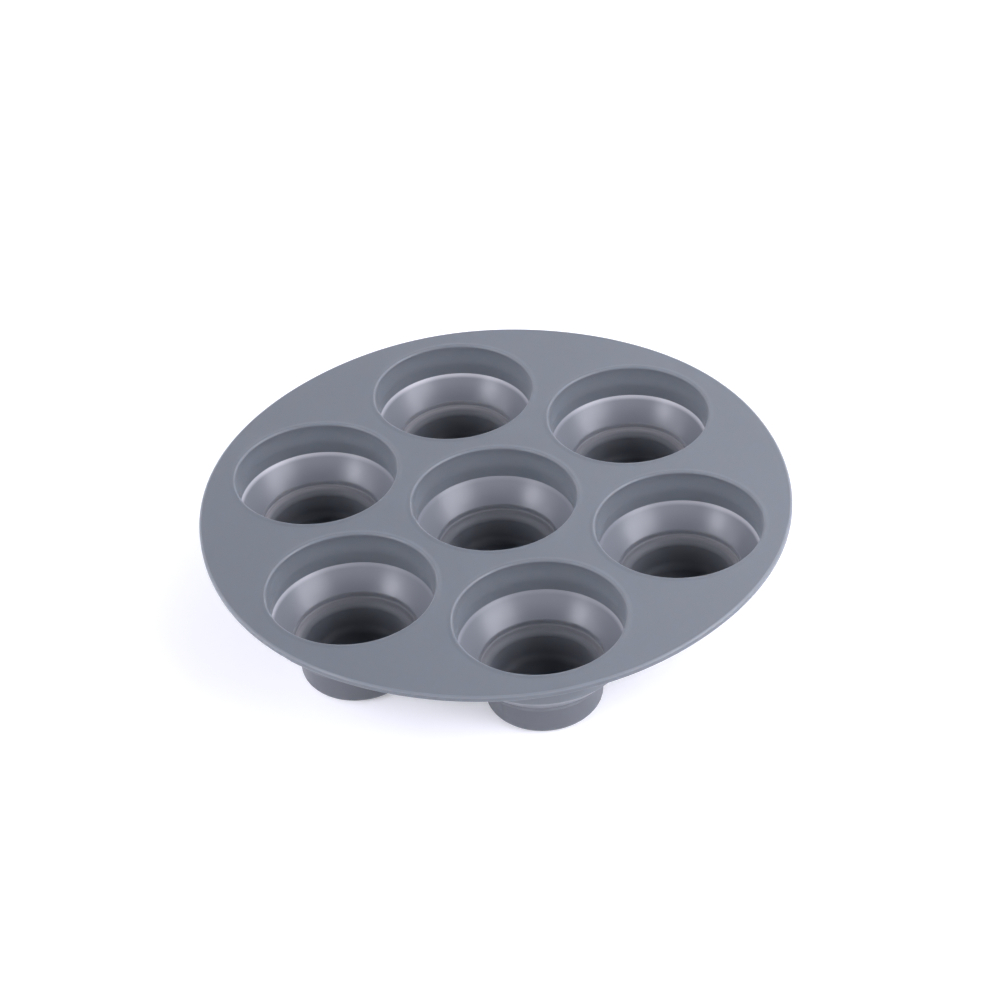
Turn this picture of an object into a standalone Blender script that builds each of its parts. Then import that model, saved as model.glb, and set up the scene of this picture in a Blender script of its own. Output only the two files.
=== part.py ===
"""Round pop-up baking mould: a flat deck that carries seven folding cups, all in one grey silicone.

Each cup is a stack of stiff thick zones joined by thin folding ones. From the deck down they are
the collar, the upper web, the waist ring, the lower web and the base. Pushing a base up turns its
webs inside out, so the cup nests inside its own collar and the mould goes nearly flat.

Units are metres, +Z is up. The origin is the middle of the centre cup's underside, where it stands.
"""

import math

import bpy
from mathutils import Vector

NAME = "pop_up_baking_mould"

# Driving dimensions of the whole mould.
HEIGHT = 0.035
DECK_RADIUS = 0.103
DECK_THICKNESS = 0.0024
DECK_EDGE_ROUND = 0.0009
CUP_PITCH = 0.06585
CUP_PLACES = ("right", "back_right", "back_left", "left", "front_left", "front_right")

# A cup's stiff zones. Depths are measured down from the deck's top face.
LIP_RADIUS = 0.0286
LIP_EASE = 0.0005
COLLAR_FOOT_RADIUS = 0.0280
COLLAR_FOOT_DEPTH = 0.0123
COLLAR_WALL = 0.0020
WAIST_RADIUS = 0.0214
WAIST_TOP_DEPTH = 0.0197
WAIST_FOOT_DEPTH = 0.0223
WAIST_WALL = 0.0018
BASE_RIM_RADIUS = 0.0183
BASE_RIM_DEPTH = 0.0244
BASE_WALL = 0.0022
BASE_TAPER = 0.0006
BASE_FLOOR = 0.0018
BASE_ROUND = 0.0032

# A cup's folding zones are this wide, measured level, across the slanting wall.
UPPER_WEB_WIDTH = 0.0012
LOWER_WEB_WIDTH = 0.0013
WEB_SET_BACK = 0.0002

# Neighbouring zones stop this far short of each other.
GAP = 0.0003

CUP_STEPS = 32
DECK_STEPS = 96
MERGE = 0.00001


def clear_scene():
    for existing in list(bpy.data.objects):
        bpy.data.objects.remove(existing, do_unlink=True)


def new_collection(name):
    collection = bpy.data.collections.new(name)
    bpy.context.scene.collection.children.link(collection)
    return collection


def silicone(name, colour, roughness):
    """A moulded silicone finish: a Principled material with a plain colour and its own gloss."""
    material = bpy.data.materials.new(name)
    material.use_nodes = True
    shader = material.node_tree.nodes["Principled BSDF"]
    shader.inputs["Base Color"].default_value = (*colour, 1.0)
    shader.inputs["Roughness"].default_value = roughness
    shader.inputs["Metallic"].default_value = 0.0
    return material


def height_at(depth):
    """Height above the floor of something this far below the deck's top face."""
    return HEIGHT - depth


def profile_mesh(name, points, closed):
    """A profile of (radius, height) points at +X, as a chain of edges for a Screw modifier."""
    count = len(points)
    edges = [(i, i + 1) for i in range(count - 1)]
    if closed:
        edges.append((count - 1, 0))
    mesh = bpy.data.meshes.new(name)
    mesh.from_pydata([(radius, 0.0, height) for radius, height in points], edges, [])
    return mesh


def add_turning(obj):
    """Turns an object's profile once round its own Z axis."""
    screw = obj.modifiers.new("turn", "SCREW")
    screw.axis = "Z"
    screw.angle = math.tau
    screw.steps = CUP_STEPS
    screw.render_steps = CUP_STEPS
    screw.use_merge_vertices = True
    screw.merge_threshold = MERGE
    screw.use_smooth_shade = True


def round_corner(corner, start_angle, radius, bend=90, segments=2):
    """Points of a quarter turn round a centre, by angle in degrees, each end included."""
    centre = Vector(corner)
    angles = [math.radians(start_angle + bend * i / segments) for i in range(segments + 1)]
    return [
        (centre.x + radius * math.cos(angle), centre.y + radius * math.sin(angle)) for angle in angles
    ]


def band(top, foot, width):
    """A slanting or upright wall's cross-section, outer side first. Top and foot are on its inner side."""
    return [
        (top[0] + width, top[1]),
        (foot[0] + width, foot[1]),
        foot,
        top,
    ]


def collar_profile():
    """The stiff wall that hangs under the deck and gives the cup its mouth."""
    top = (LIP_RADIUS, height_at(DECK_THICKNESS + GAP))
    foot = (COLLAR_FOOT_RADIUS, height_at(COLLAR_FOOT_DEPTH))
    return band(top, foot, COLLAR_WALL)


def upper_web_profile():
    """The long thin cone between collar and waist ring."""
    top = (COLLAR_FOOT_RADIUS - WEB_SET_BACK, height_at(COLLAR_FOOT_DEPTH + GAP))
    foot = (WAIST_RADIUS, height_at(WAIST_TOP_DEPTH - GAP))
    return band(top, foot, UPPER_WEB_WIDTH)


def waist_profile():
    """The short stiff ring between the two webs."""
    top = (WAIST_RADIUS, height_at(WAIST_TOP_DEPTH))
    foot = (WAIST_RADIUS, height_at(WAIST_FOOT_DEPTH))
    return band(top, foot, WAIST_WALL)


def lower_web_profile():
    """The short shallow cone between waist ring and base."""
    top = (WAIST_RADIUS - WEB_SET_BACK, height_at(WAIST_FOOT_DEPTH + GAP))
    foot = (BASE_RIM_RADIUS + WEB_SET_BACK, height_at(BASE_RIM_DEPTH - GAP))
    return band(top, foot, LOWER_WEB_WIDTH)


def base_profile():
    """The stiff round-bottomed well, from its floor's middle up the inside and down the outside."""
    foot_radius = BASE_RIM_RADIUS - BASE_TAPER
    inner_round = BASE_ROUND - BASE_FLOOR / 2
    inside = round_corner((foot_radius - inner_round, BASE_FLOOR + inner_round), -90, inner_round, segments=1)
    outer_radius = foot_radius + BASE_WALL
    outside = round_corner((outer_radius - BASE_ROUND, BASE_ROUND), 0, BASE_ROUND, bend=-90)
    rim_height = height_at(BASE_RIM_DEPTH)
    rim = [
        (BASE_RIM_RADIUS, rim_height),
        (BASE_RIM_RADIUS + BASE_WALL, rim_height),
    ]
    return [(0.0, BASE_FLOOR)] + inside + rim + outside + [(0.0, 0.0)]


def cutter_profile():
    """The mouth of one cup through the deck, a little wider at the top where the lip is eased."""
    above = HEIGHT + LIP_EASE
    below = height_at(DECK_THICKNESS) - LIP_EASE
    return [
        (0.0, above),
        (LIP_RADIUS + 2 * LIP_EASE, above),
        (LIP_RADIUS, HEIGHT - LIP_EASE),
        (LIP_RADIUS, below),
        (0.0, below),
    ]


def cup_centres():
    """The centre cup, then the six round it, the first of them on +X."""
    centres = {"centre": Vector((0.0, 0.0, 0.0))}
    for i, place in enumerate(CUP_PLACES):
        angle = math.tau * i / len(CUP_PLACES)
        centres[place] = Vector((CUP_PITCH * math.cos(angle), CUP_PITCH * math.sin(angle), 0.0))
    return centres


def build_deck(parts, cutters, centres):
    """A round plate with soft edges and one mouth for each cup."""
    bpy.ops.mesh.primitive_cylinder_add(
        vertices=DECK_STEPS,
        radius=DECK_RADIUS,
        depth=DECK_THICKNESS,
        location=(0.0, 0.0, height_at(DECK_THICKNESS / 2)),
    )
    deck = bpy.context.object
    deck.name = "deck"
    deck.data.name = "deck"
    for collection in list(deck.users_collection):
        collection.objects.unlink(deck)
    parts.objects.link(deck)
    deck.data.shade_smooth()
    deck.data.set_sharp_from_angle(angle=math.radians(40))
    deck.data.materials.append(silicone("deck_silicone", (0.215, 0.235, 0.265), 0.50))

    edge = deck.modifiers.new("soft_edge", "BEVEL")
    edge.width = DECK_EDGE_ROUND
    edge.segments = 2
    edge.limit_method = "ANGLE"
    edge.angle_limit = math.radians(40)

    mouth = profile_mesh("mouth_cutter", cutter_profile(), closed=False)
    for place, centre in centres.items():
        cutter = bpy.data.objects.new("mouth_cutter_" + place, mouth)
        cutters.objects.link(cutter)
        cutter.location = centre
        cutter.hide_render = True
        cutter.display_type = "WIRE"
        add_turning(cutter)
    mouths = deck.modifiers.new("cup_mouths", "BOOLEAN")
    mouths.operation = "DIFFERENCE"
    mouths.solver = "EXACT"
    mouths.operand_type = "COLLECTION"
    mouths.collection = cutters
    return deck


def build_cups(parts, centres):
    """Seven equal cups. A cup's five zones hang on an empty that stands on its folding axis."""
    zones = {
        "collar": (collar_profile(), True, silicone("collar_silicone", (0.165, 0.175, 0.195), 0.55)),
        "upper_web": (upper_web_profile(), True, silicone("web_silicone", (0.175, 0.178, 0.190), 0.32)),
        "waist_ring": (waist_profile(), True, silicone("waist_silicone", (0.165, 0.175, 0.195), 0.50)),
        "lower_web": (lower_web_profile(), True, silicone("hinge_silicone", (0.180, 0.182, 0.190), 0.36)),
        "base": (base_profile(), False, silicone("base_silicone", (0.185, 0.198, 0.222), 0.52)),
    }
    meshes = {}
    for zone, (points, closed, material) in zones.items():
        meshes[zone] = profile_mesh(zone, points, closed)
        meshes[zone].materials.append(material)

    for place, centre in centres.items():
        axis = bpy.data.objects.new("fold_axis_" + place, None)
        axis.location = centre
        axis.empty_display_size = CUP_PITCH / 8
        parts.objects.link(axis)
        for zone, mesh in meshes.items():
            piece = bpy.data.objects.new(zone + "_" + place, mesh)
            parts.objects.link(piece)
            piece.parent = axis
            add_turning(piece)


clear_scene()
part_collection = new_collection(NAME)
cutter_collection = new_collection(NAME + "_cutters")
cup_axes = cup_centres()
build_deck(part_collection, cutter_collection, cup_axes)
build_cups(part_collection, cup_axes)
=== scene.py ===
import math

import bmesh
import bpy
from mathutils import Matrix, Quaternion, Vector
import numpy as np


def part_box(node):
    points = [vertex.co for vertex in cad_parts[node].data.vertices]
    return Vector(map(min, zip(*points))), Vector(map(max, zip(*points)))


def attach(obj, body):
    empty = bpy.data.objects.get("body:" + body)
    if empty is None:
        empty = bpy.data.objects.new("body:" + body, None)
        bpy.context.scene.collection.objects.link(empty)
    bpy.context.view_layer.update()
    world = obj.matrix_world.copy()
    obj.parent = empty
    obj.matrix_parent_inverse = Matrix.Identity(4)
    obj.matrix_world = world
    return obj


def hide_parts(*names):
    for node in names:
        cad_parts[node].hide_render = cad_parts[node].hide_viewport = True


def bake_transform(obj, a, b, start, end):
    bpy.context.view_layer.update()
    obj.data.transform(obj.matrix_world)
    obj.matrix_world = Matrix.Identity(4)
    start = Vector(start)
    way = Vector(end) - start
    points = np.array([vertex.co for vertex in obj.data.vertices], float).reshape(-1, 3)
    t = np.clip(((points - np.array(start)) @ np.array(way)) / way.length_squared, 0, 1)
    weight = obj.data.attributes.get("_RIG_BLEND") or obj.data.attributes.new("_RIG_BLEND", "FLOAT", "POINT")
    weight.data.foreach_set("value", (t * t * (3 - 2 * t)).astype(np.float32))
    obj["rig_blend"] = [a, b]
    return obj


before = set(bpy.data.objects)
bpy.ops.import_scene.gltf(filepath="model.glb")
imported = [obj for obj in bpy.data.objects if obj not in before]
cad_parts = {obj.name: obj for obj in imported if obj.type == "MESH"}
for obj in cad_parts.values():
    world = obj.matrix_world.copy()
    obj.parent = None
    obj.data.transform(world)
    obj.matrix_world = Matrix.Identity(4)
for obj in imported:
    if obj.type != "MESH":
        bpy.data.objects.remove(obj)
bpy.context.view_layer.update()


# ---------------------------------------------------------------------------------------------
# Tray: the flat round deck and the seven thick collars under its mouths, one piece of silicone.
# It is moulded about 2.4 mm thick with an eased rim, and each mouth rolls over a small round lip
# into its collar. A fine matt grain from the blasted mould face covers all of it.
# ---------------------------------------------------------------------------------------------

deck_low, deck_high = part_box("deck")
LIP_TOP = deck_high.z
LIP_RISE = 0.00012
DECK_TOP = LIP_TOP - LIP_RISE
DECK_UNDERSIDE = deck_low.z

# The rim is widest outside each outer cup, and drawn in by twice RIM_SWELL between them.
RIM_RADIUS = deck_high.x
RIM_SWELL = 0.00028
RIM_TOP_ROUND = 0.0009
RIM_FOOT_ROUND = 0.0006
RIM_STEPS = 288

collar_low, collar_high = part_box("collar_centre")
COLLAR_FOOT = collar_low.z
COLLAR_OUTER_RADIUS = collar_high.x
COLLAR_DRAFT = 0.0005
COLLAR_THROAT_DEPTH = 0.0022
COLLAR_BELLY_DEPTH = 0.0078
COLLAR_BELLY_DRAFT = 0.0009
COLLAR_WALL = 0.0020
COLLAR_HEEL_ROUND = 0.0005
COLLAR_ROOT_ROUND = 0.0008
MOUTH_RADIUS = COLLAR_OUTER_RADIUS - COLLAR_WALL
COLLAR_FOOT_RADIUS = MOUTH_RADIUS - COLLAR_DRAFT

# The lip is a small round edge with a gentle flank up to it, then flat land meets the deck.
LIP_ROUND = 0.0008
LIP_FLANK = 0.0012
LAND = 0.0004

# Painted highlights: the rim's top round and the mouth's lip are painted paler than the flats, standing in
# for highlights from the lamps, and the collar's inside is painted a little lighter. The slices are the
# rings of the rim's and the mouth's outlines that carry each painted highlight.
PAINTED_LIGHT_GAIN = (2.60, 2.45, 2.34)
RIM_PAINTED_HIGHLIGHT = 0.24
RIM_LINE = slice(2, 8)
LIP_PAINTED_HIGHLIGHT = 0.17
LIP_LINE = slice(5, 11)
COLLAR_PAINTED_LIGHT = 0.06
COLLAR_INSIDE = slice(12, 26)

# The moulded skin: how light soaks in, and how its tone, gloss and blasted grain vary.
SILICONE_IOR = 1.43
SOAK_COLOURS = (1.35, 1.0, 0.8)
TONE_PATCHES = 28.0
TONE_DRIFT = 0.03
GLOSS_PATCHES = 420.0
GLOSS_DRIFT = 0.1
BLAST_GRAIN = 3200.0
BLAST_DEPTH = 0.00004
SHARP_ANGLE = math.radians(38)

CUP_STEPS = 128
PLACES = ("centre", "right", "back_right", "back_left", "left", "front_left", "front_right")
OUTER_CUPS = len(PLACES) - 1


def cup_axis(place):
    """Where a cup's upright axis meets the floor."""
    low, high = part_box("base_" + place)
    return Vector(((low.x + high.x) / 2, (low.y + high.y) / 2, 0.0))


def arc(centre, radius, start, end, steps):
    """Points of a round corner in a cross-section, angles in degrees from the outward level."""
    points = []
    for i in range(steps + 1):
        angle = math.radians(start + (end - start) * i / steps)
        points.append((centre[0] + radius * math.cos(angle), centre[1] + radius * math.sin(angle)))
    return points


def straight(start, end, steps):
    """Points along a straight run of a cross-section, without its two ends."""
    return [
        (start[0] + (end[0] - start[0]) * i / steps, start[1] + (end[1] - start[1]) * i / steps)
        for i in range(1, steps)
    ]


def eased(start, end, steps):
    """Points down an upright run whose radius changes gently from one end to the other."""
    points = []
    for i in range(1, steps):
        share = i / steps
        change = share * share * (3 - 2 * share)
        points.append((start[0] + (end[0] - start[0]) * change, start[1] + (end[1] - start[1]) * share))
    return points


def turn_rings(bm, centre, outline, steps):
    """One ring of vertices round the axis for each point of the cross-section."""
    rings = []
    for radius, height in outline:
        ring = []
        for i in range(steps):
            angle = math.tau * i / steps
            ring.append(
                bm.verts.new(
                    (centre.x + radius * math.cos(angle), centre.y + radius * math.sin(angle), height)
                )
            )
        rings.append(ring)
    return rings


def skin_rings(bm, rings, closed=False):
    """Faces between rings that follow each other, and from the last to the first if closed."""
    pairs = list(zip(rings, rings[1:]))
    if closed:
        pairs.append((rings[-1], rings[0]))
    for upper, lower in pairs:
        count = len(upper)
        for i in range(count):
            j = (i + 1) % count
            bm.faces.new((upper[i], upper[j], lower[j], lower[i]))


def ring_edges(bm, ring):
    """The edges round one ring."""
    return [bm.edges.get((ring[i], ring[(i + 1) % len(ring)])) for i in range(len(ring))]


def finish_mesh(bm, name, material):
    """Turns built faces into a smooth-shaded piece with its normals outward."""
    bmesh.ops.recalc_face_normals(bm, faces=bm.faces)
    mesh = bpy.data.meshes.new(name)
    bm.to_mesh(mesh)
    bm.free()
    mesh.shade_smooth()
    mesh.set_sharp_from_angle(angle=SHARP_ANGLE)
    mesh.materials.append(material)
    piece = bpy.data.objects.new(name, mesh)
    bpy.context.scene.collection.objects.link(piece)
    return piece


def start_mesh():
    """An empty mesh whose corners carry how much painted light goes into the silicone's colour there, 0 for
    its own tone.
    """
    bm = bmesh.new()
    bm.verts.layers.float.new("painted_light")
    return bm


def paint_light(bm, ring, amount):
    """Paints this much light into the silicone's colour all round one ring."""
    layer = bm.verts.layers.float["painted_light"]
    for corner in ring:
        corner[layer] = amount


def silicone(name, colour, roughness, grain, see_through):
    """Pigmented silicone: a satin skin with a fine blasted grain, with painted light mixed into its colour
    at edges and thin places.

    see_through is how deep light soaks in, in metres. It is 0 for the webs, which turn inside out.
    """
    material = bpy.data.materials.new(name)
    material.use_nodes = True
    nodes = material.node_tree.nodes
    links = material.node_tree.links
    shader = nodes["Principled BSDF"]
    shader.inputs["IOR"].default_value = SILICONE_IOR
    shader.inputs["Subsurface Weight"].default_value = 1.0 if see_through else 0.0
    shader.inputs["Subsurface Radius"].default_value = SOAK_COLOURS
    shader.inputs["Subsurface Scale"].default_value = see_through

    surface = nodes.new("ShaderNodeNewGeometry")

    drift = nodes.new("ShaderNodeTexNoise")
    drift.inputs["Scale"].default_value = TONE_PATCHES
    drift.inputs["Detail"].default_value = 3.0
    links.new(surface.outputs["Position"], drift.inputs["Vector"])
    tone = nodes.new("ShaderNodeMixRGB")
    tone.inputs["Color1"].default_value = (*[c * (1 - TONE_DRIFT) for c in colour], 1.0)
    tone.inputs["Color2"].default_value = (*[c * (1 + TONE_DRIFT) for c in colour], 1.0)
    links.new(drift.outputs["Fac"], tone.inputs["Fac"])
    # Painted light: the corners' attribute mixes the tone towards a paler colour, for painted highlights on
    # edges and a painted glow where light would come through.
    painted_light = nodes.new("ShaderNodeAttribute")
    painted_light.attribute_name = "painted_light"
    with_painted_light = nodes.new("ShaderNodeMixRGB")
    with_painted_light.inputs["Color2"].default_value = (*[c * gain for c, gain in zip(colour, PAINTED_LIGHT_GAIN)], 1.0)
    links.new(painted_light.outputs["Fac"], with_painted_light.inputs["Fac"])
    links.new(tone.outputs["Color"], with_painted_light.inputs["Color1"])
    links.new(with_painted_light.outputs["Color"], shader.inputs["Base Color"])

    sheen_patches = nodes.new("ShaderNodeTexNoise")
    sheen_patches.inputs["Scale"].default_value = GLOSS_PATCHES
    sheen_patches.inputs["Detail"].default_value = 4.0
    links.new(surface.outputs["Position"], sheen_patches.inputs["Vector"])
    gloss = nodes.new("ShaderNodeMapRange")
    gloss.inputs["To Min"].default_value = roughness * (1 - GLOSS_DRIFT)
    gloss.inputs["To Max"].default_value = roughness * (1 + GLOSS_DRIFT)
    links.new(sheen_patches.outputs["Fac"], gloss.inputs["Value"])
    links.new(gloss.outputs["Result"], shader.inputs["Roughness"])

    blasting = nodes.new("ShaderNodeTexNoise")
    blasting.inputs["Scale"].default_value = BLAST_GRAIN
    blasting.inputs["Detail"].default_value = 2.0
    links.new(surface.outputs["Position"], blasting.inputs["Vector"])
    skin = nodes.new("ShaderNodeBump")
    skin.inputs["Strength"].default_value = grain
    skin.inputs["Distance"].default_value = BLAST_DEPTH
    links.new(blasting.outputs["Fac"], skin.inputs["Height"])
    links.new(skin.outputs["Normal"], shader.inputs["Normal"])
    return material


def tray_cross_section():
    """The way round a mouth: top land, lip, collar's inside, foot, heel, outside, root, land below."""
    lip = arc((MOUTH_RADIUS + LIP_ROUND, LIP_TOP - LIP_ROUND), LIP_ROUND, 90, 180, 8)
    flank_foot = (lip[0][0] + LIP_FLANK, DECK_TOP)
    flank_middle = (lip[0][0] + LIP_FLANK / 2, (DECK_TOP + LIP_TOP) / 2)
    throat = (MOUTH_RADIUS, LIP_TOP - COLLAR_THROAT_DEPTH)
    belly = (MOUTH_RADIUS - COLLAR_BELLY_DRAFT, LIP_TOP - COLLAR_BELLY_DEPTH)
    foot = (COLLAR_FOOT_RADIUS, COLLAR_FOOT)
    heel_radius = COLLAR_FOOT_RADIUS + COLLAR_WALL
    heel = arc(
        (heel_radius - COLLAR_HEEL_ROUND, COLLAR_FOOT + COLLAR_HEEL_ROUND), COLLAR_HEEL_ROUND, -90, 0, 4
    )
    root = arc(
        (COLLAR_OUTER_RADIUS + COLLAR_ROOT_ROUND, DECK_UNDERSIDE - COLLAR_ROOT_ROUND),
        COLLAR_ROOT_ROUND,
        180,
        90,
        6,
    )
    return (
        [(flank_foot[0] + LAND, DECK_TOP), flank_foot, flank_middle]
        + lip
        + [throat]
        + eased(throat, belly, 8)
        + [belly]
        + straight(belly, foot, 5)
        + [foot]
        + straight(foot, heel[0], 3)
        + heel
        + straight(heel[-1], root[0], 6)
        + root
        + [(root[-1][0] + LAND, DECK_UNDERSIDE)]
    )


def rim_cross_section():
    """The way round the rim: top land, top round, side, foot round, land below."""
    top = arc((RIM_RADIUS - RIM_TOP_ROUND, DECK_TOP - RIM_TOP_ROUND), RIM_TOP_ROUND, 90, 0, 8)
    foot = arc((RIM_RADIUS - RIM_FOOT_ROUND, DECK_UNDERSIDE + RIM_FOOT_ROUND), RIM_FOOT_ROUND, 0, -90, 6)
    return (
        [(top[0][0] - LAND, DECK_TOP)]
        + top
        + straight(top[-1], foot[0], 2)
        + foot
        + [(foot[-1][0] - LAND, DECK_UNDERSIDE)]
    )


def build_tray(material):
    """Deck and collars in one skin: the rim, a ring of skin round each mouth, and flats between."""
    bm = start_mesh()
    rim = turn_rings(bm, Vector((0, 0, 0)), rim_cross_section(), RIM_STEPS)
    for ring in rim:
        for i, corner in enumerate(ring):
            drawn_in = RIM_SWELL * (1 - math.cos(OUTER_CUPS * math.tau * i / RIM_STEPS))
            corner.co.xy *= 1 - drawn_in / RIM_RADIUS
    # Painted highlight along the rim's top round.
    for ring in rim[RIM_LINE]:
        paint_light(bm, ring, RIM_PAINTED_HIGHLIGHT)
    skin_rings(bm, rim)
    mouths = []
    for place in PLACES:
        rings = turn_rings(bm, cup_axis(place), tray_cross_section(), CUP_STEPS)
        # Painted highlight on the lip, and a little painted light inside the collar.
        for ring in rings[LIP_LINE]:
            paint_light(bm, ring, LIP_PAINTED_HIGHLIGHT)
        for ring in rings[COLLAR_INSIDE]:
            paint_light(bm, ring, COLLAR_PAINTED_LIGHT)
        skin_rings(bm, rings)
        mouths.append(rings)
    for side in (0, -1):
        edges = ring_edges(bm, rim[side])
        for rings in mouths:
            edges += ring_edges(bm, rings[side])
        bmesh.ops.triangle_fill(bm, use_beauty=True, use_dissolve=False, edges=edges)
    return finish_mesh(bm, "tray", material)


tray_silicone = silicone(
    "tray_silicone", colour=(0.137, 0.153, 0.171), roughness=0.33, grain=0.25, see_through=0.00035
)
tray = build_tray(tray_silicone)
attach(tray, "tray")
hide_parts("deck", *["collar_" + place for place in PLACES])


# ---------------------------------------------------------------------------------------------
# Upper webs: the long thin cone of each cup, which turns inside out when the cup is folded.
# The same silicone, under a millimetre thick and thinner still where it hangs from the collar,
# from a polished part of the mould, so it is glossier; its colour is painted lighter, with a painted glow
# where light would come through.
# ---------------------------------------------------------------------------------------------

waist_low, waist_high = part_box("waist_ring_centre")
WAIST_TOP = waist_high.z
WAIST_FOOT = waist_low.z
WAIST_WALL = 0.0018
WAIST_RADIUS = waist_high.x - WAIST_WALL
WAIST_EDGE_ROUND = 0.0012
WEB_THICKNESS = 0.00085
WEB_SAG = 0.00030
HINGE_THICKNESS = 0.00028
HINGE_REACH = 0.14
WEB_STEPS = 28

# A glow of light coming through just under the collar is painted into the colour: the share of the web's
# length that it reaches, how full it is near its start, and the share of it left on the side away from the
# tray's rim.
GLOW_REACH = 0.17
GLOW_FULLNESS = 1.5
GLOW_EVERYWHERE = 0.15


def web_thickness(along):
    """A web's thickness at a share of its length: thin under the collar, full from there down."""
    share = min(1.0, along / HINGE_REACH)
    share = share * share * (3 - 2 * share)
    return HINGE_THICKNESS + (WEB_THICKNESS - HINGE_THICKNESS) * share


def web_cross_section(top, foot):
    """A slanting web's closed outline: down its inside, then up its outside."""
    run = Vector((foot[0] - top[0], foot[1] - top[1]))
    outward = Vector((-run.y, run.x)).normalized()
    inside = []
    outside = []
    for i in range(WEB_STEPS + 1):
        along = i / WEB_STEPS
        point = Vector(top) + run * along + outward * (WEB_SAG * 4 * along * (1 - along))
        inside.append(tuple(point))
        outside.append(tuple(point + outward * web_thickness(along)))
    return inside + outside[::-1]


def glow_shares(axis):
    """How much painted glow a cup's thin places get, corner by corner: most towards the tray's rim."""
    outward = axis.normalized()
    shares = []
    for i in range(CUP_STEPS):
        angle = math.tau * i / CUP_STEPS
        facing = Vector((math.cos(angle), math.sin(angle), 0.0))
        towards_rim = (outward.length + facing.dot(outward)) / 2
        shares.append(GLOW_EVERYWHERE + (1 - GLOW_EVERYWHERE) * towards_rim)
    return shares


def build_turned(name, place, outline, material, glow):
    """A ring-shaped piece round one cup's axis, from its closed cross-section and its rings' painted glow.
    """
    bm = start_mesh()
    layer = bm.verts.layers.float["painted_light"]
    axis = cup_axis(place)
    shares = glow_shares(axis)
    rings = turn_rings(bm, axis, outline, CUP_STEPS)
    # Painted glow on each ring, fullest on the side towards the tray's rim.
    for ring, amount in zip(rings, glow):
        for corner, share in zip(ring, shares):
            corner[layer] = amount * share
    skin_rings(bm, rings, closed=True)
    return finish_mesh(bm, name + "_" + place, material)


# Painted light: the web's colour is the tray's silicone made lighter, standing in for light the thin cones
# let through and catch.
web_silicone = silicone(
    "web_silicone", colour=(0.160, 0.170, 0.189), roughness=0.30, grain=0.45, see_through=0.0
)
web_glow = [
    min(1.0, GLOW_FULLNESS * max(0.0, 1 - i / WEB_STEPS / GLOW_REACH)) for i in range(WEB_STEPS + 1)
]
web_top = (COLLAR_FOOT_RADIUS, COLLAR_FOOT)
web_slope = math.atan2(COLLAR_FOOT - WAIST_TOP, COLLAR_FOOT_RADIUS - WAIST_RADIUS)
web_foot = (
    WAIST_RADIUS + WAIST_EDGE_ROUND * (1 - math.sin(web_slope)),
    WAIST_TOP - WAIST_EDGE_ROUND * (1 - math.cos(web_slope)),
)
web_outline = web_cross_section(web_top, web_foot)
for place in PLACES:
    web = build_turned("fold_cone", place, web_outline, web_silicone, web_glow)
    axis = cup_axis(place)
    hinge_above = axis + Vector((0, 0, web_top[1]))
    hinge_below = axis + Vector((0, 0, web_foot[1]))
    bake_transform(web, "tray", "waist_" + place, start=hinge_above, end=hinge_below)
    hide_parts("upper_web_" + place)


# ---------------------------------------------------------------------------------------------
# Waist rings: the short stiff band between the two folds of each cup.
# It is about as thick as the collar, so it keeps its round shape while the webs beside it flex.
# ---------------------------------------------------------------------------------------------

WAIST_OUTER_INSET = 0.0003
WAIST_OUTER_RADIUS = waist_high.x - WAIST_OUTER_INSET
WAIST_HEEL_ROUND = 0.00025
WAIST_DRAFT = 0.0007
WAIST_SHOULDER_DROP = 0.0006
WAIST_EDGE_STEPS = 5
WAIST_WALL_STEPS = 4
# Painted glow on the waist's inside rings, standing in for light coming through the band.
WAIST_GLOW = 0.4


def waist_cross_section():
    """Down the inside from the rounded top edge, then up the outside."""
    edge = arc(
        (WAIST_RADIUS + WAIST_EDGE_ROUND, WAIST_TOP - WAIST_EDGE_ROUND),
        WAIST_EDGE_ROUND,
        90 + math.degrees(web_slope),
        180,
        WAIST_EDGE_STEPS,
    )
    foot = (WAIST_RADIUS, WAIST_FOOT)
    heel = arc(
        (WAIST_OUTER_RADIUS - WAIST_DRAFT - WAIST_HEEL_ROUND, WAIST_FOOT + WAIST_HEEL_ROUND),
        WAIST_HEEL_ROUND,
        -90,
        0,
        5,
    )
    shoulder = (WAIST_OUTER_RADIUS, WAIST_TOP - WAIST_SHOULDER_DROP)
    top = (web_foot[0] + WEB_THICKNESS / math.sin(web_slope), web_foot[1])
    return edge + straight(edge[-1], foot, WAIST_WALL_STEPS) + [foot] + heel + [shoulder, top]


# Painted shade: the waist's colour is the tray's silicone made darker, standing in for the shade in the
# middle of each cup.
waist_silicone = silicone(
    "waist_silicone", colour=(0.122, 0.131, 0.146), roughness=0.62, grain=0.3, see_through=0.0003
)
waist_inner_rings = WAIST_EDGE_STEPS + WAIST_WALL_STEPS + 1
waist_glow = [WAIST_GLOW] * waist_inner_rings
waist_outline = waist_cross_section()
for place in PLACES:
    band = build_turned("waist_band", place, waist_outline, waist_silicone, waist_glow)
    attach(band, "waist_" + place)
    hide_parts("waist_ring_" + place)


# ---------------------------------------------------------------------------------------------
# Lower webs: the small thin shoulder that rolls over from each waist ring into its well.
# It flexes for the second, shorter fold, and a soft line of light coming through it is painted on its ledge.
# ---------------------------------------------------------------------------------------------

_, base_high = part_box("base_centre")
WELL_TOP = base_high.z
WELL_RADIUS = 0.0180
WELL_OUTER_INSET = 0.0001
WELL_OUTER_RADIUS = base_high.x - WELL_OUTER_INSET
SHOULDER_FILLET = 0.0008
SHOULDER_ROUND = WAIST_RADIUS - WELL_RADIUS - SHOULDER_FILLET
SHOULDER_HINGE = 0.0005
SHOULDER_HOLLOW = 0.0007
SHOULDER_STEPS = 14
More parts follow.
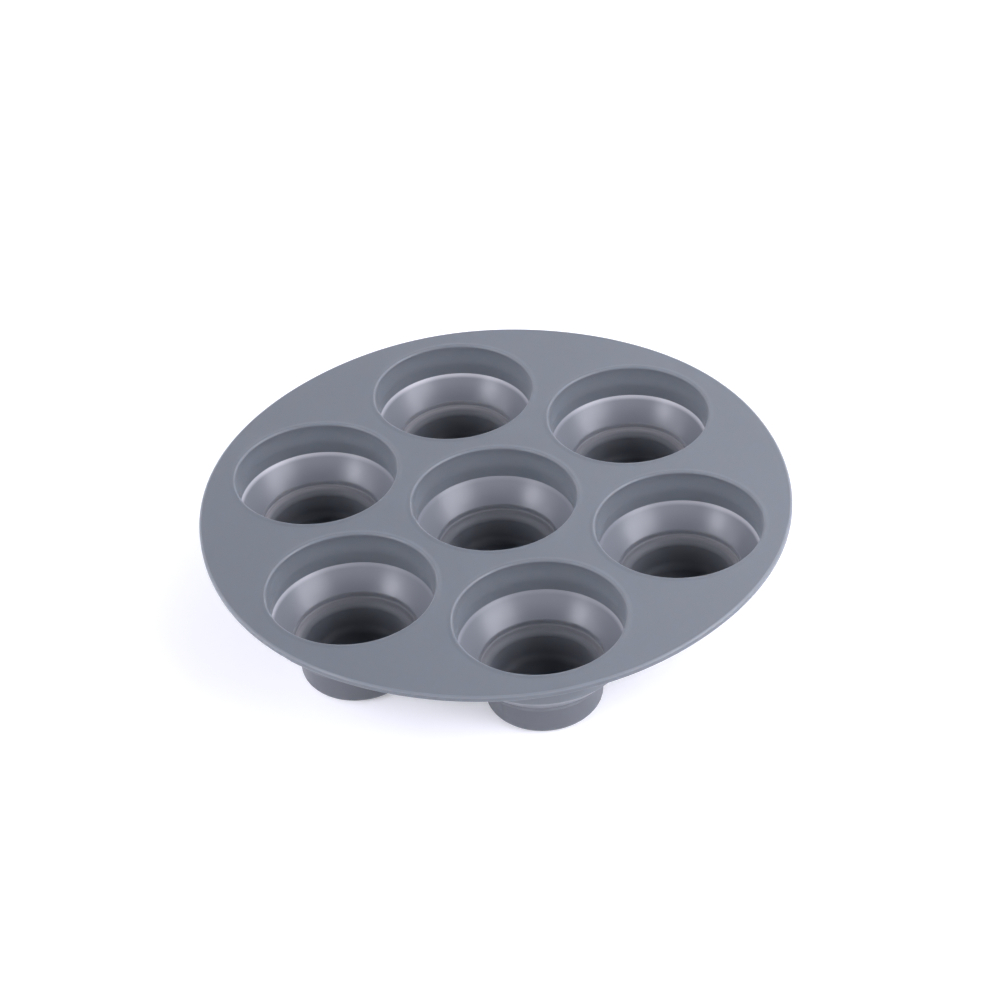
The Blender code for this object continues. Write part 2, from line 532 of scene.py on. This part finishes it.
# Painted glow along the shoulder's ledge: its strength, the ring where it peaks and how many rings it
# spreads over.
SHOULDER_GLOW = 1.0
SHOULDER_GLOW_RING = 6
SHOULDER_GLOW_SPREAD = 6
shoulder_centre = (WELL_RADIUS + SHOULDER_ROUND, WAIST_FOOT - SHOULDER_ROUND)
shoulder_end = 180 - math.degrees(math.asin((WELL_TOP - shoulder_centre[1]) / SHOULDER_ROUND))


def shoulder_cross_section():
    """Round the inside of the shoulder from the waist to the well, then back along its underside."""
    fillet = arc(
        (WAIST_RADIUS - SHOULDER_FILLET, WAIST_FOOT + SHOULDER_FILLET), SHOULDER_FILLET, 0, -90, 5
    )
    roll = arc(shoulder_centre, SHOULDER_ROUND, 90, shoulder_end, SHOULDER_STEPS)
    inside = fillet[:-1] + roll
    hollow = arc(
        (WELL_OUTER_RADIUS + SHOULDER_HOLLOW, WAIST_FOOT - SHOULDER_HINGE - SHOULDER_HOLLOW),
        SHOULDER_HOLLOW,
        180,
        90,
        6,
    )
    well_edge = (WELL_OUTER_RADIUS, WELL_TOP)
    return inside + [well_edge] + hollow + [(WAIST_RADIUS + SHOULDER_HINGE, WAIST_FOOT)]


# Painted shade: the shoulder's colour is the tray's silicone made darker, standing in for the shade low in
# each cup.
shoulder_silicone = silicone(
    "shoulder_silicone", colour=(0.120, 0.126, 0.138), roughness=0.60, grain=0.3, see_through=0.0
)
shoulder_glow = [
    SHOULDER_GLOW * max(0.0, 1 - abs(i - SHOULDER_GLOW_RING) / SHOULDER_GLOW_SPREAD)
    for i in range(SHOULDER_STEPS)
]
shoulder_outline = shoulder_cross_section()
for place in PLACES:
    shoulder = build_turned("fold_shoulder", place, shoulder_outline, shoulder_silicone, shoulder_glow)
    axis = cup_axis(place)
    hinge_above = axis + Vector((0, 0, WAIST_FOOT))
    hinge_below = axis + Vector((0, 0, WELL_TOP))
    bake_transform(shoulder, "waist_" + place, "well_" + place, start=hinge_above, end=hinge_below)
    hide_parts("lower_web_" + place)


# ---------------------------------------------------------------------------------------------
# Wells: the stiff round-bottomed foot of each cup, which it stands on.
# Its wall leans in a little so a bun comes out, and its floor is flat inside and out.
# ---------------------------------------------------------------------------------------------

WELL_DRAFT = 0.0006
WELL_FLOOR = 0.0018
WELL_INNER_ROUND = 0.0030
WELL_OUTER_ROUND = 0.0034
WELL_RINGS_TO_AXIS = 5

# The well stops a hair short of the shoulder, so their meeting faces never lie in one plane.
WELL_SEAM = 0.00003


def well_cross_section():
    """From near the floor's middle up the inside, over the cut with the shoulder, down the outside."""
    floor_round = arc(
        (WELL_RADIUS - WELL_DRAFT - WELL_INNER_ROUND, WELL_FLOOR + WELL_INNER_ROUND),
        WELL_INNER_ROUND,
        -90,
        0,
        8,
    )
    inner_wall_top = (WELL_RADIUS, shoulder_centre[1])
    wall_top = WELL_TOP - WELL_SEAM
    roll_end = 180 - math.degrees(math.asin((wall_top - shoulder_centre[1]) / SHOULDER_ROUND))
    shoulder = arc(shoulder_centre, SHOULDER_ROUND, 180, roll_end, 4)
    outer_wall_top = (WELL_OUTER_RADIUS, wall_top)
    outer_foot_radius = WELL_OUTER_RADIUS - WELL_DRAFT
    foot_round = arc(
        (outer_foot_radius - WELL_OUTER_ROUND, WELL_OUTER_ROUND), WELL_OUTER_ROUND, 0, -90, 10
    )
    middle_in = (0.0, WELL_FLOOR)
    middle_out = (0.0, 0.0)
    return (
        straight(middle_in, floor_round[0], WELL_RINGS_TO_AXIS)
        + floor_round
        + straight(floor_round[-1], inner_wall_top, 6)
        + shoulder
        + [outer_wall_top]
        + straight(outer_wall_top, foot_round[0], 6)
        + foot_round
        + straight(foot_round[-1], middle_out, WELL_RINGS_TO_AXIS)
    )


def build_well(place, material):
    """One cup's well, its floor closed at the axis by a fan of faces inside and another below."""
    bm = start_mesh()
    axis = cup_axis(place)
    rings = turn_rings(bm, axis, well_cross_section(), CUP_STEPS)
    skin_rings(bm, rings)
    for ring, height in ((rings[0], WELL_FLOOR), (rings[-1], 0.0)):
        middle = bm.verts.new((axis.x, axis.y, height))
        for i in range(len(ring)):
            bm.faces.new((ring[i], ring[(i + 1) % len(ring)], middle))
    return finish_mesh(bm, "well_cup_" + place, material)


# Painted shade: the well's colour is the tray's silicone made darker, standing in for the shade deep in each
# well.
well_silicone = silicone(
    "well_silicone", colour=(0.116, 0.124, 0.139), roughness=0.60, grain=0.3, see_through=0.0003
)
for place in PLACES:
    well = build_well(place, well_silicone)
    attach(well, "well_" + place)
    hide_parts("base_" + place)


# ---------------------------------------------------------------------------------------------
# Studio: a white table, low softboxes at the left, right and back, and a dark ceiling.
# The light comes in flat, so it grazes the tray and fills the upper walls but not the wells.
# ---------------------------------------------------------------------------------------------

TABLE_RADIUS = 6.0
TABLE_STEPS = 96
TABLE_ROUGHNESS = 0.6
TABLE_COLOUR = (0.88, 0.88, 0.90)
TABLE_GLOW_COLOUR = (0.97, 0.97, 1.0)
TABLE_GLOW = 0.24
LIGHT_COLOUR = (0.97, 0.97, 1.08)

# The walls' brightness by height, as (sine of the elevation, share of the full brightness). The
# front walls take over where a direction's lean to the front passes from the first to the second.
WALL_BRIGHTNESS = 2.2
WALL_BLUENESS = 1.08
FRONT_LEAN = (0.25, 0.75)
SIDE_WALL_STOPS = ((0.10, 0.38), (0.24, 0.82), (0.50, 0.82), (0.58, 0.01))
FRONT_WALL_STOPS = ((0.10, 0.04), (0.30, 0.15), (0.40, 1.0), (0.60, 1.0), (0.70, 0.01))

# The camera looks from this far round to the right of the tray's front.
VIEW_TURN = math.radians(19.684)

# Directions are in degrees, azimuth from the right-hand side of the camera's view and elevation
# above the tray. Spreads are the half-angles that a box covers as the tray sees it.
SOFTBOXES = {
    "left": {"azimuth": -172, "elevation": 36, "away": 1.8, "spread": (28, 9), "brightness": 3.4},
    "left_low": {"azimuth": -165, "elevation": 22, "away": 1.8, "spread": (28, 6), "brightness": 1.2},
    "left_front": {"azimuth": -154, "elevation": 34, "away": 1.6, "spread": (9, 7), "brightness": 9.5},
    "right": {"azimuth": -30, "elevation": 34, "away": 1.0, "spread": (21, 10), "brightness": 6.6},
    "right_low": {"azimuth": -27, "elevation": 22, "away": 0.9, "spread": (16, 6), "brightness": 5.6},
    "right_side": {"azimuth": 0, "elevation": 36, "away": 0.9, "spread": (12, 10), "brightness": 2.4},
    "back_right": {"azimuth": 24, "elevation": 46, "away": 1.2, "spread": (30, 11), "brightness": 2.0},
    "back": {"azimuth": 60, "elevation": 45, "away": 1.5, "spread": (20, 10), "brightness": 1.8},
}


def build_table():
    """The wide white table top that the mould stands on."""
    bm = bmesh.new()
    bmesh.ops.create_circle(bm, cap_ends=True, radius=TABLE_RADIUS, segments=TABLE_STEPS)
    mesh = bpy.data.meshes.new("table")
    bm.to_mesh(mesh)
    bm.free()
    table = bpy.data.objects.new("table", mesh)
    bpy.context.scene.collection.objects.link(table)
    material = bpy.data.materials.new("white_table")
    material.use_nodes = True
    shader = material.node_tree.nodes["Principled BSDF"]
    shader.inputs["Base Color"].default_value = (*TABLE_COLOUR, 1.0)
    shader.inputs["Roughness"].default_value = TABLE_ROUGHNESS
    shader.inputs["Emission Color"].default_value = (*TABLE_GLOW_COLOUR, 1.0)
    shader.inputs["Emission Strength"].default_value = TABLE_GLOW
    mesh.materials.append(material)
    return table


def build_softbox(name, box):
    """A rectangular light that faces the middle of the tray."""
    light = bpy.data.lights.new("softbox_" + name, "AREA")
    light.shape = "RECTANGLE"
    light.size = 2 * box["away"] * math.tan(math.radians(box["spread"][0]))
    light.size_y = 2 * box["away"] * math.tan(math.radians(box["spread"][1]))
    light.color = LIGHT_COLOUR
    light.energy = box["brightness"] * math.pi * light.size * light.size_y
    lamp = bpy.data.objects.new("softbox_" + name, light)
    bpy.context.scene.collection.objects.link(lamp)
    azimuth = math.radians(box["azimuth"]) + VIEW_TURN
    elevation = math.radians(box["elevation"])
    direction = Vector(
        (
            math.cos(elevation) * math.cos(azimuth),
            math.cos(elevation) * math.sin(azimuth),
            math.sin(elevation),
        )
    )
    lamp.location = Vector((0, 0, DECK_TOP)) + direction * box["away"]
    lamp.rotation_mode = "QUATERNION"
    lamp.rotation_quaternion = (-direction).to_track_quat("-Z", "Y")
    lamp.visible_camera = False


def wall_ramp(nodes, stops):
    """A brightness ramp up a wall: (height, level) stops, height as the sine of the elevation."""
    ramp = nodes.new("ShaderNodeValToRGB")
    elements = ramp.color_ramp.elements
    elements[0].position, elements[1].position = stops[0][0], stops[-1][0]
    for height, _ in stops[1:-1]:
        elements.new(height)
    for element, (height, level) in zip(elements, stops):
        element.color = (level, level, level * WALL_BLUENESS, 1.0)
    return ramp


def build_world():
    """Pale walls that fade to a dark ceiling; in front they are dark low down."""
    world = bpy.data.worlds.new("studio")
    bpy.context.scene.world = world
    world.use_nodes = True
    nodes = world.node_tree.nodes
    links = world.node_tree.links
    background = nodes["Background"]
    direction = nodes.new("ShaderNodeTexCoord")
    split = nodes.new("ShaderNodeSeparateXYZ")
    links.new(direction.outputs["Generated"], split.inputs["Vector"])
    sides = wall_ramp(nodes, SIDE_WALL_STOPS)
    front = wall_ramp(nodes, FRONT_WALL_STOPS)
    links.new(split.outputs["Z"], sides.inputs["Fac"])
    links.new(split.outputs["Z"], front.inputs["Fac"])

    towards_front = nodes.new("ShaderNodeVectorMath")
    towards_front.operation = "DOT_PRODUCT"
    towards_front.inputs[1].default_value = (math.sin(VIEW_TURN), -math.cos(VIEW_TURN), 0.0)
    links.new(direction.outputs["Generated"], towards_front.inputs[0])
    frontness = nodes.new("ShaderNodeMapRange")
    frontness.inputs["From Min"].default_value = FRONT_LEAN[0]
    frontness.inputs["From Max"].default_value = FRONT_LEAN[1]
    links.new(towards_front.outputs["Value"], frontness.inputs["Value"])
    walls = nodes.new("ShaderNodeMixRGB")
    links.new(frontness.outputs["Result"], walls.inputs["Fac"])
    links.new(sides.outputs["Color"], walls.inputs["Color1"])
    links.new(front.outputs["Color"], walls.inputs["Color2"])
    links.new(walls.outputs["Color"], background.inputs["Color"])
    background.inputs["Strength"].default_value = WALL_BRIGHTNESS


table = build_table()
for box_name, softbox in SOFTBOXES.items():
    build_softbox(box_name, softbox)
build_world()
bpy.context.scene.view_settings.view_transform = "Standard"


# ---------------------------------------------------------------------------------------------
# Camera: from the front, a little to the right and well above, with a long lens, tipped slightly.
# ---------------------------------------------------------------------------------------------

CAMERA_AIM = Vector((0.00235, -0.00082, DECK_TOP))
CAMERA_AWAY = 0.9732
CAMERA_PITCH = math.radians(38.06)
CAMERA_TURN = math.radians(0.145) - VIEW_TURN
CAMERA_TILT = math.radians(-4.395)
CAMERA_LENS = 101.25
CAMERA_SENSOR = 36.0
CAMERA_NEAREST = 0.05
CAMERA_FARTHEST = 30.0

camera_data = bpy.data.cameras.new("camera")
camera_data.sensor_width = CAMERA_SENSOR
camera_data.lens = CAMERA_LENS
camera_data.clip_start = CAMERA_NEAREST
camera_data.clip_end = CAMERA_FARTHEST
camera = bpy.data.objects.new("camera", camera_data)
bpy.context.scene.collection.objects.link(camera)
forward = Vector(
    (
        math.sin(CAMERA_TURN) * math.cos(CAMERA_PITCH),
        math.cos(CAMERA_TURN) * math.cos(CAMERA_PITCH),
        -math.sin(CAMERA_PITCH),
    )
)
camera.location = CAMERA_AIM - forward * CAMERA_AWAY
camera.rotation_mode = "QUATERNION"
camera.rotation_quaternion = forward.to_track_quat("-Z", "Y") @ Quaternion((0, 0, 1), CAMERA_TILT)
bpy.context.scene.camera = camera
